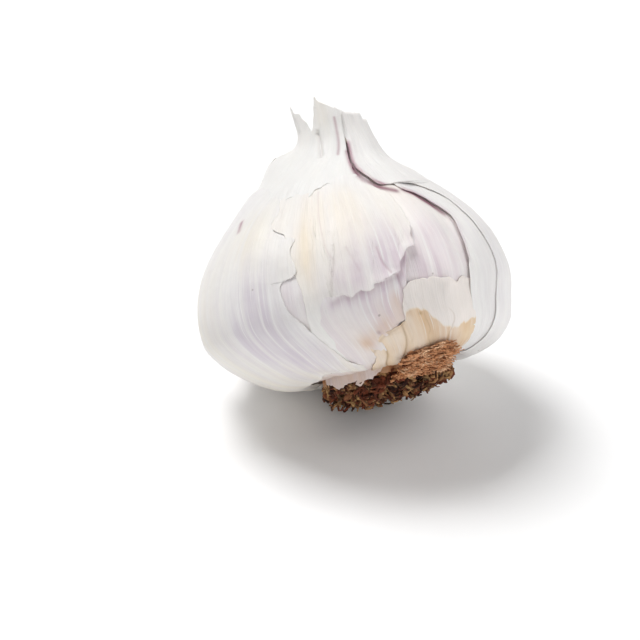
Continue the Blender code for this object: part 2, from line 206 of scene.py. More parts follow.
def relief(angle, run):
    """What every layer shares above the plain outline, in millimetres.

    The swell of the cloves, plus slow waves, plus narrow veins up the leaves, which are a cosine of the
    angle to the fourth power, plus the folds that they gather into at the neck, less what makes the neck
    slimmer, at its right more than at its left.
    """
    crest, strength = lobes(angle, np.interp(run, RUN, LINE[:, 1]))
    neck = ramp((run - GATHER_START) / GATHER_LENGTH)
    waves = rough(angle, run, (28, 26.0, 11, 0.16), (48, 9.0, 12, 0.05))
    phase = angle * VEINS_ROUND / 360 + rough(angle, run, (24, 17.0, 13, 0.5))
    veins = VEIN_HEIGHT * np.cos(math.pi * phase) ** 4 * (0.55 + rough(angle, run, (40, 24.0, 14, 0.45)))
    folds = rough(angle, run, (16, 34.0, 15, 0.42), (36, 22.0, 16, 0.22))
    slim = (SLIM + SLIM_AT_RIGHT * np.sin(np.radians(angle))) * ramp((run - SLIM_START) / SLIM_LENGTH)
    swell = LOBE_SWELL * (crest - LOBE_LEVEL) * strength
    return swell + (waves + veins) * (1 - 0.6 * neck) + folds * neck - slim


def bulb_point(angle, run, rise):
    """Where points of the bulb are in its own frame: the outline turned round the axis and pushed out by
    rise and relief along its normal, then shifted sideways at crown and neck, as the bulb grew crooked.
    """
    radius = np.interp(run, RUN, LINE[:, 0])
    height = np.interp(run, RUN, LINE[:, 1])
    out_r = np.interp(run, RUN, ALONG[:, 1])
    out_h = -np.interp(run, RUN, ALONG[:, 0])
    lift = rise - SURFACE_RISE + relief(angle, run)
    radius = radius + lift * out_r
    around = np.radians(angle)
    low = 1 - ramp(height / CROWN_FADE)
    side = radius * np.sin(around)
    x = CROWN_SHIFT * low + NECK_SHIFT * ramp((height - NECK_START) / NECK_BEND) + side
    z = height + np.maximum(run - TIP, 0.0) + np.minimum(run, 0.0) + lift * out_h + CROWN_TILT * side * low
    return stacked(x, -radius * np.cos(around), z)


def rest(points, rise=SURFACE_RISE):
    """Points of the bulb's frame tipped over into the world, and pressed flat where they meet the surface.

    The outer leaf at the back lies on the surface, and a layer at a rise stays as far above it as it is
    inside that leaf.
    """
    world = points @ TURN.T + RESTING_PLACE
    world[..., 2] = np.maximum(world[..., 2], np.maximum(BACK_OUTER - rise, 0.0) + FLOOR_GAP)
    return world


def radius_at(run):
    """Radius of the plain outline at a run."""
    return np.interp(run, RUN, LINE[:, 0])


def linear(colour):
    """An sRGB hex colour as linear red, green, blue and alpha."""
    parts = [int(colour[k : k + 2], 16) / 255 for k in (1, 3, 5)]
    return (*[c / 12.92 if c <= 0.04045 else ((c + 0.055) / 1.055) ** 2.4 for c in parts], 1.0)


def add(tree, kind, inputs=None, **settings):
    """Add a shader node of a kind, with its settings, and its inputs set to values or linked to outputs."""
    node = tree.nodes.new("ShaderNode" + kind)
    for key, value in settings.items():
        setattr(node, key, value)
    for key, value in (inputs or {}).items():
        if isinstance(value, bpy.types.NodeSocket):
            tree.links.new(value, node.inputs[key])
        else:
            node.inputs[key].default_value = value
    return node


def new_material(name):
    """An empty node material, its tree and its Principled shader."""
    made = bpy.data.materials.new(name)
    made.use_nodes = True
    return made, made.node_tree, made.node_tree.nodes["Principled BSDF"]


def dress(tree, shader, colour, height, bump, constants):
    """Link a colour and a bump's height to the shader, and set the rest on its own sockets."""
    strength, distance = bump
    tree.links.new(colour, shader.inputs["Base Color"])
    bumped = add(tree, "Bump", {"Strength": strength, "Distance": distance, "Height": height})
    tree.links.new(bumped.outputs[0], shader.inputs["Normal"])
    for key, value in constants.items():
        shader.inputs[key].default_value = value


VEIN_WHITE = "#F7F4F2"
SPECK_BROWN = "#8C7A70"


def papery(name, base, cream, blush, stain_and_shade, roughness=0.5):
    """Dry garlic leaf: satin and thin, with pale veins and cream and lilac streaks that run up it.

    The attribute leaf gives a point's angle in degrees and run in millimetres, and tints gives its shares
    of cream, of lilac blush, and of stains together with painted shade in slits and creases and under torn
    edges.
    """
    made, tree, shader = new_material(name)
    leaf = add(tree, "Attribute", attribute_name="leaf").outputs["Vector"]
    tints = add(tree, "Attribute", attribute_name="tints").outputs["Vector"]
    given = add(tree, "SeparateXYZ", {0: tints}).outputs
    place = add(tree, "TexCoord").outputs["Object"]
    # Broad streaks are some 5 mm wide and 50 mm long, middle ones 2 mm wide, fine ones 0.7, fibres 0.2.
    streaks = []
    for across, along in ((0.1, 0.018), (0.26, 0.03), (0.8, 0.05), (2.4, 0.16)):
        at = add(tree, "VectorMath", {0: leaf, 1: (across, along, 1.0)}, operation="MULTIPLY").outputs[0]
        streaks.append(add(tree, "TexNoise", {"Vector": at, "Scale": 1.0, "Detail": 2.0}).outputs["Fac"])
    broad, middle, fine, fibre = streaks
    # Clouds are about 8 mm across. Of the cells 5 mm across, a few have a dark speck 0.5 mm across.
    cloud = add(tree, "TexNoise", {"Vector": place, "Scale": 130.0, "Detail": 3.0}).outputs["Fac"]
    cells = add(tree, "TexVoronoi", {"Vector": place, "Scale": 210.0, "Randomness": 1.0}).outputs
    chosen = add(tree, "SeparateXYZ", {0: cells["Color"]}).outputs[0]

    # Each level takes a value between two limits, smoothly, to two new ones.
    level = {
        key: add(tree, "MapRange", dict(enumerate(row)), interpolation_type="SMOOTHSTEP").outputs[0]
        for key, row in {
            "creamy": (broad, 0.32, 0.6, 0.45, 1.0),
            "lilac": (middle, 0.34, 0.62, 0.42, 1.0),
            "cloudy": (cloud, 0.3, 0.6, 0.7, 1.0),
            "vein": (fine, 0.56, 0.68, 0.0, 1.0),
            "veined": (given[1], 0.05, 0.8, 0.06, 0.6),
            "fibre": (fibre, 0.36, 0.6, 0.965, 1.0),
            "blotch": (cloud, 0.25, 0.6, 0.5, 1.0),
            "speck": (cells["Distance"], 0.03, 0.07, 1.0, 0.0),
            "few": (chosen, 0.78, 0.8, 0.0, 1.0),
        }.items()
    }
    share = {}
    for key, factors in {
        "cream": (given[0], level["creamy"]),
        "lilac": (given[1], level["lilac"], level["cloudy"]),
        "vein": (level["vein"], level["veined"]),
        "stain_and_shade": (given[2], level["blotch"]),
        "speck": (level["speck"], level["few"], 0.55),
    }.items():
        share[key] = factors[0]
        for factor in factors[1:]:
            product = add(tree, "Math", {0: share[key], 1: factor}, operation="MULTIPLY", use_clamp=True)
            share[key] = product.outputs[0]

    # Pale veins stand out where the leaf is lilac, and the finest fibres shade it a little everywhere.
    grey = add(tree, "CombineColor", dict.fromkeys(range(3), level["fibre"])).outputs[0]
    colour = linear(base)
    for way, part, tint in (
        ("MIX", share["cream"], linear(cream)),
        ("MIX", share["lilac"], linear(blush)),
        ("MIX", share["vein"], linear(VEIN_WHITE)),
        ("MULTIPLY", 1.0, grey),
        ("MIX", share["stain_and_shade"], linear(stain_and_shade)),
        ("MIX", share["speck"], linear(SPECK_BROWN)),
    ):
        mixed = add(tree, "Mix", {0: part, 6: colour, 7: tint}, data_type="RGBA", blend_type=way)
        colour = mixed.outputs[2]
    height = add(tree, "Math", {0: fibre, 1: fine}, operation="ADD").outputs[0]
    height = add(tree, "Math", {0: cloud, 1: 7.0, 2: height}, operation="MULTIPLY_ADD").outputs[0]
    dress(tree, shader, colour, height, (0.6, 0.00013), {
        "Roughness": roughness, "Specular IOR Level": 0.35, "Subsurface Weight": 0.12,
        "Subsurface Radius": (1.0, 0.75, 0.65), "Subsurface Scale": 0.0012,
    })
    return made


def fibrous(name, dark, middle, light, size):
    """Dry root and plate tissue: matt, split into fibres, from near-black through red-brown to pale ochre
    at random.
    On the roots the near-black is partly painted shade in the hollows of the mat, and the ochre partly
    painted highlights on the curls.

    The attribute leaf gives the place along and across the fibres in millimetres, which size multiplies,
    and tints gives each fibre's own tone and its share of pale patches.
    """
    made, tree, shader = new_material(name)
    leaf = add(tree, "Attribute", attribute_name="leaf").outputs["Vector"]
    tints = add(tree, "Attribute", attribute_name="tints").outputs["Vector"]
    given = add(tree, "SeparateXYZ", {0: tints}).outputs
    place = add(tree, "TexCoord").outputs["Object"]
    grain = add(tree, "TexNoise", {"Vector": leaf, "Scale": size, "Detail": 4.0}).outputs["Fac"]
    # Pale patches come in clouds 2.4 mm across; on the roots they are partly painted highlights on the
    # curls.
    cloud = add(tree, "TexNoise", {"Vector": place, "Scale": 420.0, "Detail": 3.0}).outputs["Fac"]
    tone = add(tree, "Math", {0: grain, 1: 1.3, 2: -0.65}, operation="MULTIPLY_ADD").outputs[0]
    tone = add(tree, "Math", {0: tone, 1: given[0]}, operation="ADD", use_clamp=True).outputs[0]
    pale_patches = add(tree, "MapRange", {0: cloud, 1: 0.46, 2: 0.62}, interpolation_type="SMOOTHSTEP").outputs[0]
    pale_patches = add(tree, "Math", {0: pale_patches, 1: given[1]}, operation="MULTIPLY", use_clamp=True).outputs[0]
    colour = linear(dark)
    for part, tint in ((tone, middle), (pale_patches, light)):
        colour = add(tree, "Mix", {0: part, 6: colour, 7: linear(tint)}, data_type="RGBA").outputs[2]
    dress(tree, shader, colour, grain, (0.6, 0.00025), {"Roughness": 0.85, "Specular IOR Level": 0.25})
    return made


def add_piece(name, points, faces, leaf, tints, material, slot, *nodes):
    """Put a mesh into the scene as a piece: points in millimetres, arrays of faces, and two attributes."""
    mesh = bpy.data.meshes.new(name)
    points = points.reshape(-1, 3) * MM
    mesh.from_pydata(points, [], [face for part in faces for face in part.tolist()])
    for key, values in (("leaf", leaf), ("tints", np.clip(tints, 0, 1))):
        layer = mesh.attributes.new(key, "FLOAT_VECTOR", "POINT")
        layer.data.foreach_set("vector", np.ascontiguousarray(values, dtype=np.float32).ravel())
    mesh.shade_smooth()
    mesh.materials.append(material)
    piece = bpy.data.objects.new(name, mesh)
    bpy.context.scene.collection.objects.link(piece)
    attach(piece, "root")
    if nodes:
        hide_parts(*nodes)


def grid_faces(rows, columns, wrap=False):
    """Four-sided faces of a grid, outside up: rows go up and columns go to the right."""
    i, j = np.meshgrid(np.arange(rows - 1), np.arange(columns if wrap else columns - 1), indexing="ij")
    a = i * columns + j
    b = i * columns + (j + 1) % columns
    return stacked(a, b, b + columns, a + columns).reshape(-1, 4)


def with_ends(grid, foot, top):
    """The rows of a grid of three values a point, and a row for the middle of its foot and of its top."""
    return np.vstack([grid.reshape(-1, 3), foot, top])


def closed_faces(rows, columns):
    """Faces of a round grid of points, closed by fans to the point at its foot and the one at its top."""
    count = rows * columns
    first = np.arange(columns)
    following = (first + 1) % columns
    last = count - columns
    foot, top = stacked(following, first, count), stacked(first + last, following + last, count + 1)
    return [grid_faces(rows, columns, wrap=True), foot, top]


def in_millimetres(line):
    """Rows of angle and run laid out flat, with the angle as a length round the bulb."""
    return line * stacked(DEGREE * radius_at(line[:, 1]), 1.0)


def torn_edge(points, share, tear, seed):
    """An edge of a leaf at shares of its length: a smooth line through its points, torn across by noise.

    The tear is the sum of the noises in TEARS, square to the line, and dies out at its ends.
    """
    line = smooth_line(points)
    way = np.concatenate([[0.0], np.cumsum(np.linalg.norm(np.diff(in_millimetres(line), axis=0), axis=1))])
    at = share * way[-1]
    here = stacked(np.interp(at, way, line[:, 0]), np.interp(at, way, line[:, 1]))
    along = np.gradient(in_millimetres(here), axis=0)
    along /= np.maximum(np.linalg.norm(along, axis=1), 1e-9)[:, None]
    shift = sum(height * noise(at / length, 0.5, seed + k) for k, (length, height) in enumerate(TEARS))
    shift *= tear * ramp(at / TEAR_FADE) * ramp((way[-1] - at) / TEAR_FADE)
    here[:, 0] += shift * along[:, 1] / (DEGREE * radius_at(here[:, 1]))
    here[:, 1] -= shift * along[:, 0]
    return here


def leaf_grid(edges, tear, columns, rows, seed):
    """Angle and run on a grid between four torn edges: the sum of the blends of the two pairs of edges,
    less the blend of the four corners.
    """
    s, t = np.linspace(0, 1, columns), np.linspace(0, 1, rows)
    left, right, foot, top = (
        torn_edge(edge, along, tear[k], seed + 10 * k)
        for k, (edge, along) in enumerate(zip(edges, (t, t, s, s)))
    )
    left, right, foot, top = left[:, None], right[:, None], foot[None], top[None]
    s, t = s[None, :, None], t[:, None, None]
    sides = (1 - s) * left + s * right
    pale_patches = (1 - t) * foot + t * top
    corners = (1 - t) * ((1 - s) * left[:1] + s * right[:1]) + t * ((1 - s) * left[-1:] + s * right[-1:])
    grid = sides + pale_patches - corners
    return grid[..., 0], grid[..., 1]


def edge_distances(angle, run):
    """Distances in millimetres from the left, right, foot and top edges of a leaf, along its grid lines."""
    across = np.hypot(np.diff(angle, axis=1) * DEGREE * radius_at(run[:, 1:]), np.diff(run, axis=1))
    up = np.hypot(np.diff(angle, axis=0) * DEGREE * radius_at(run[1:]), np.diff(run, axis=0))
    from_left = np.concatenate([np.zeros((len(run), 1)), np.cumsum(across, axis=1)], axis=1)
    from_foot = np.concatenate([np.zeros((1, run.shape[1])), np.cumsum(up, axis=0)], axis=0)
    return from_left, from_left[:, -1:] - from_left, from_foot, from_foot[-1:] - from_foot


def leaf(name, node, material, slot, rise, left, right, cells, foot=None, top=None, hug=(0, 0, 0, 0),
         curl=(0, 0, 0, 0), tear=(0, 0, 0, 0), wrinkle=0.06, tint=lambda a, m: (0.3, 0.1, 0 * m), bend=None,
         seed=1):
    """One dry leaf, wrapped round the bulb at a rise: two faces LEAF apart and a rim.

    hug, curl and tear have a value for the left, right, foot and top edge. Near an edge the leaf sinks by
    hug on to the one below, by a bell curve of the distance, and close to it curls up by curl, more in some
    places than in others. bend adds a lift of its own at an angle and run.
    """
    columns, rows = cells
    edges = (left, right, foot or [left[0], right[0]], top or [left[-1], right[-1]])
    angle, run = leaf_grid(edges, tear, columns, rows, seed)
    lift = sum(
        share * wrinkle * noise(angle / wide, run / long, seed + 40 + k)
        for k, (wide, long, share) in enumerate(WRINKLES)
    )
    for k, (away, sink, up) in enumerate(zip(edge_distances(angle, run), hug, curl)):
        along = run if k < 2 else angle * DEGREE * radius_at(run)
        ruffle = 0.55 + 0.45 * noise(along / 3.1, k + 0.5, seed + 50)
        ruffle = ruffle + 0.2 * noise(along / 0.9, k + 0.5, seed + 51)
        lift = lift - sink * np.exp(-((away / HUG_REACH) ** 2))
        lift = lift + up * ruffle * np.exp(-((away / CURL_REACH) ** 2))
    if bend:
        lift = lift + bend(angle, run)
    outer = rest(bulb_point(angle, run, rise + lift), rise)
    inner = rest(bulb_point(angle, run, rise + lift - LEAF), rise - LEAF)
    count = rows * columns
    front = grid_faces(rows, columns)
    index = np.arange(count).reshape(rows, columns)
    loop = np.concatenate([index[0, :-1], index[:-1, -1], index[-1, :0:-1], index[:0:-1, 0]])
    onward = np.roll(loop, -1)
    rim = stacked(onward, loop, loop + count, onward + count)
    # The seed sets the streaks of one leaf apart from those of the next.
    places, shares = stacked(angle, run, seed * 3.7), stacked(*tint(angle, run))
    points, places, shares = (np.stack(pair) for pair in ((outer, inner), [places] * 2, [shares] * 2))
    faces = [front, front[:, ::-1] + count, rim]
    add_piece(name, points, faces, places, shares, material, slot, node)


def spot(angle, run, at, reach):
    """A soft round spot on the bulb's side: a bell curve of the distance from at, in degrees by mm."""
    return np.exp(-(((angle - at[0]) / reach[0]) ** 2) - ((run - at[1]) / reach[1]) ** 2)


def stripe(angle, run, line, reach):
    """A soft stripe along a line of (angle, run) points: a bell curve of the distance from it."""
    wide = DEGREE * radius_at(run)
    gaps = np.stack([np.hypot((angle - a) * wide, run - m) for a, m in smooth_line(line, 30)])
    return np.exp(-((gaps.min(axis=0) / reach) ** 2))


# Outer garlic leaf, dried on the bulb: nearly white and satin, a little cream and lilac where it is thin.
white_leaf = papery("white garlic skin", "#F5F3F0", "#F7EEDC", "#DCD2DA", "#9A5670")
# The same where it has kept more of its cream streaks.
cream_leaf = papery("cream garlic skin", "#F6F3EF", "#F8EAD4", "#DCCCD4", "#9A5670")
# Inner leaf, tight on the cloves: smoother, with a lilac blush, tan at its foot, and dark plum in the slits
# that is partly its own colour and partly painted shade.
lilac_leaf = papery("lilac inner garlic skin", "#F6F2EF", "#DCB998", "#D6C2CE", "#78304E", roughness=0.42)
# Husk at the base, split off the plate: matt, tan inside and pale where it thins, with brown cracks.
tan_leaf = papery("tan basal husk", "#F3EBE6", "#E8CEAE", "#D9B188", "#946C38", roughness=0.65)
# Cork-like tissue of the plate, torn: matt red-brown fibres with light ends and dark splits.
corky = fibrous("corky basal plate", "#6C3A22", "#D69A6E", "#F2CAA4", 0.9)
# Dried roots: matt, near-black, red-brown and ochre by fibre and in clouds. The near-black is partly their
# own dark brown and partly painted shade in the hollows of the mat; the ochre partly their own tan and
# partly painted highlights on the curls.
rooty = fibrous("dry garlic roots", "#1F0905", "#733A24", "#C49A68", 1.6)

# Places that more than one leaf shares, as points of angle and run. The flap is torn across the front from
# a place where it lies flush to the corner at its right.
TEAR = [
    (-8.5, 25.2), (-5, 25.8), (-2, 25.4), (1.5, 26.3), (4.5, 25.9), (7, 27), (12, 27.4), (17, 28.5),
    (17.4, 29.9), (21.5, 32.5), (24.5, 33),
]
FLUSH = [(-14, 8.5), (-11.5, 12), (-10.5, 16), (-9.8, 20.5), (-9.3, 24)]
FLAP_CRACK = [(10.5, 34), (11.3, 31)]
WRAP_FOOT = [(-114, 57), (-80, 55.5), (-60, 53.5), (-38, 50.8), (-26, 51.8)]
WRAP_EDGE = [(18, 54.8), (13.2, 58.8), (9.4, 63.5)]
# The top of the fibrous tissue that runs from the collar up over the husk.
TISSUE = [
    (7, 7), (9.5, 8.9), (12.5, 10.7), (15.5, 10.2), (19, 11.5), (22.5, 11.1), (26, 12.1), (31, 12),
    (35, 10.4), (41, 9),
]


def plum_and_shade_in_slits(angle, run):
    """Share of dark plum in the two slits at the right of the neck, as soft stripes: partly the inner
    leaf's own plum and partly painted shade in the slits.
    """
    upper = stripe(angle, run, [(8, 67), (10, 63), (14.5, 59), (20.5, 53.5), (27, 50), (33, 48)], 0.75)
    lower = stripe(angle, run, [(39, 48), (43.5, 46.2), (48.5, 43.2), (51.5, 40.5)], 0.75)
    thin = 0.5 * stripe(angle, run, [(51.5, 40.5), (52.5, 38), (51, 34.5), (49, 29)], 0.4)
    return np.maximum(upper, np.maximum(lower, thin))


def cloves():
    """The cloves in their tight inner skin: the bulb's side at the lowest rise, sunk more in the valleys,
    up to the ragged top of the stalk, which is hollow.
    """
    columns, rows, stalk_top, valley_depth, hollow_depth = 420, 150, 67, 0.35, 3.0
    angle = np.linspace(-180, 180, columns, endpoint=False)[None]
    top = stalk_top + rough(angle, 0 * angle, (20, 1.0, 21, 0.8), (60, 1.0, 22, 0.5))
    run = np.linspace(0, 1, rows)[:, None] * top
    angle = angle + 0 * run
    crest, strength = lobes(angle, np.interp(run, RUN, LINE[:, 1]))
    side = rest(bulb_point(angle, run, CLOVES - valley_depth * (1 - crest) * strength), CLOVES)
    hollow = side[-1].mean(axis=0) - hollow_depth * TURN[:, 2]
    points = with_ends(side, side[0].mean(axis=0), hollow)
    blush = 0.3 + 0.25 * crest * strength + 0.3 * spot(angle, run, (27, 30), (8, 5))
    blush = blush - 0.38 * ramp((run - 34) / 8)
    # The dark plum in the slits is partly the leaf's own plum and partly painted shade.
    shares = stacked(0.2 * (1 - strength), blush, plum_and_shade_in_slits(angle, run))
    shares = with_ends(shares, [0.5, 0.2, 0], [0.5, 0.2, 0])
    places = with_ends(stacked(angle, run, 0), [0, 0, 0], [0, TIP, 0])
    faces = closed_faces(rows, columns)
    add_piece("cloves", points, faces, places, shares, lilac_leaf, "clove_skin", "bulb_of_cloves")


def tan_top(angle):
    """How far up the husk its tan inner face shows: a jagged line. Above it the husk is pale and thin."""
    corners = [
        (11, 30), (14, 18), (15.5, 20), (20.5, 20.3), (24, 19.5), (25, 18), (28.5, 15.8), (33, 15.2),
        (48, 16),
    ]
    line = np.interp(angle, *np.array(corners).T)
    return line + rough(angle, 0 * angle, (150, 1.0, 209, 0.35), (330, 1.0, 210, 0.25))


def husk_cracks(angle, run):
    """Share of a crack in the husk: two long ones, and short ones where a noise passes through nought."""
    long_ones = stripe(angle, run, [(15, 21.3), (12, 17.8), (11.3, 13.8), (9, 9.3)], 0.22)
    long_ones = long_ones + stripe(angle, run, [(0.5, 14.2), (1.2, 11), (-0.5, 7), (0, 4)], 0.2)
    wander = rough(angle, run, (58, 21.0, 206, 1.0), (110, 2.6, 207, 0.45))
    shown = ramp((0.1 + rough(angle, run, (44, 4.5, 208, 1.0))) / 0.5) * (1 - ramp((run - 18) / 5))
    return np.clip(long_ones + 0.45 * np.exp(-((wander / 0.06) ** 2)) * shown, 0, 1)


def husk_bend(angle, run):
    """The husk sinks in its cracks, is uneven, and lifts at one corner of its top."""
    uneven = rough(angle, run, (60, 4.0, 203, 0.08))
    return uneven - 0.12 * husk_cracks(angle, run) + 0.5 * spot(angle, run, (34, 25), (3, 2))


def under_leaves():
    """The leaves next to the cloves."""
    leaf(
        "front_inner_leaf", "front_under_skin", lilac_leaf, "clove_skin", UNDER,
        left=[(-64, -2.2), (-62, 60)],
        right=[
            (5, 0.4), (9, 6), (9, 12), (10, 17.2), (15.5, 18.6), (19, 21.4), (18.6, 24), (19, 28), (22, 34),
            (24, 40), (23, 60),
        ],
        foot=[(-64, -2.2), (-48, -3.5), (-36, -2.9), (-26, -3.5), (-14, -2.7), (-4, -1.6), (5, 0.4)],
        cells=(190, 180), tear=(0, 0.12, 0.5, 0), hug=(0, 0.05, 0, 0), curl=(0, 0.1, 0, 0), seed=100,
        tint=lambda a, m: (
            0.75 * stripe(a, m, [(-4, 15), (3, 17.4), (9, 18.4), (12.5, 20), (14, 23)], 1.8)
            + 0.45 * (1 - ramp((m - 5) / 4)) + 0.35 * spot(a, m, (10, 21), (8, 4))
            + 0.2 * (1 - ramp((m - 16) / 10)),
            0.36 - 0.26 * ramp((m - 33) / 8) + 0.5 * spot(a, m, (9, 22), (11, 7))
            + 0.1 * spot(a, m, (-23, 27), (6, 8))
            # A band of lilac just below the flap's torn edge is painted shadow of that edge.
            + 0.6 * stripe(a, m, [(k, r - 0.9) for k, r in TEAR], 1.0),
            0.4 * stripe(a, m, [(15.6, 28.4), (16.5, 25.5), (18.4, 22)], 0.25)
            + 0.5 * spot(a, m, (2, 17), (0.8, 0.5))
            # A thin plum line under the flap's torn edge is painted shadow; the plum in the slits is partly
            # painted shade.
            + 0.2 * stripe(a, m, [(k, r - 0.4) for k, r in TEAR], 0.6) + plum_and_shade_in_slits(a, m),
        ),
    )
    leaf(
        "base_husk_leaf", "base_husk", tan_leaf, "tan_husk", UNDER + 0.36,
        left=[(-12.5, 1), (-9, 6), (-5.5, 10), (-4.5, 12.3), (-5, 14)],
        right=[(48, 1), (48, 25)],
        top=[
            (-5, 14), (-1, 14.4), (3, 16.2), (9, 17.2), (13.5, 18.4), (15, 21), (18.5, 25.3), (24, 26.3),
            (33, 26), (38, 24.6), (42, 25.8), (48, 25),
        ],
        cells=(230, 150), tear=(0.4, 0.3, 0, 0.4), hug=(0.1, 0.3, 0, 0.3), curl=(0.2, 0, 0, 0),
        wrinkle=0.07, bend=husk_bend, seed=200,
        tint=lambda a, m: (
            1.0 - 0.92 * ramp((m - tan_top(a)) / 0.6),
            (0.25 + 0.3 * spot(a, m, (14, 16), (8, 5)) + rough(a, m, (70, 3.0, 204, 0.5)))
            * (m < tan_top(a)),
            0.55 * husk_cracks(a, m) + 0.35 * (1 - ramp((m - 3) / 6))
            + 0.6 * spot(a, m, (21, 19.3), (0.8, 0.4))
            + 0.3 * stripe(a, m, [(-4.6, 12), (-1, 14), (3, 15.8), (9, 16.8), (13, 18), (14.6, 20.8)], 0.3),
        ),
    )
    leaf(
        "right_inner_leaf", "right_under_skin", white_leaf, "white_skin", UNDER + 0.05,
        left=[
            (47, 1), (47, 24), (49, 29.2), (51, 34.8), (53, 39.6), (49.3, 43.4), (44, 46.4), (37, 49),
            (32, 60),
        ],
        right=[(114, 1), (114, 60)],
        cells=(130, 130), tear=(0.14, 0, 0, 0), hug=(0.1, 0, 0, 0), curl=(0.15, 0, 0, 0), seed=300,
        tint=lambda a, m: (
            # The dark plum in the slits is partly the leaf's own plum and partly painted shade.
            0.1, 0.3 + 0.5 * stripe(a, m, [(44, 47), (53, 40), (51, 33)], 0.8), 0.5 * plum_and_shade_in_slits(a, m),
        ),
    )
    for name, node, material, slot, start, end, seed in (
        ("back_inner_leaf_right", "back_under_skin_right", white_leaf, "white_skin", 112.5, 193, 400),
        ("back_inner_leaf_left", "back_under_skin_left", lilac_leaf, "clove_skin", -168, -62.5, 500),
    ):
        leaf(
            name, node, material, slot, UNDER - 0.1, left=[(start, 1), (start, 60)],
            right=[(end, 1), (end, 60)], cells=(70, 70), seed=seed,
        )


def flap_bend(angle, run):
    """The flap lies flush at the left of its tear, curls up along it, and sinks beside its fine crack."""
    crack = stripe(angle, run, [*FLAP_CRACK, (13.5, 28.5)], 0.4)
    curl = stripe(angle, run, TEAR, 1.2) * (0.05 + 0.3 * ramp((angle + 5) / 18)) * ramp((angle + 7) / 4)
    corner = 0.35 * spot(angle, run, (23, 34), (5, 4))
    return curl + corner - 0.15 * crack - 0.5 * stripe(angle, run, FLUSH, 3.0)


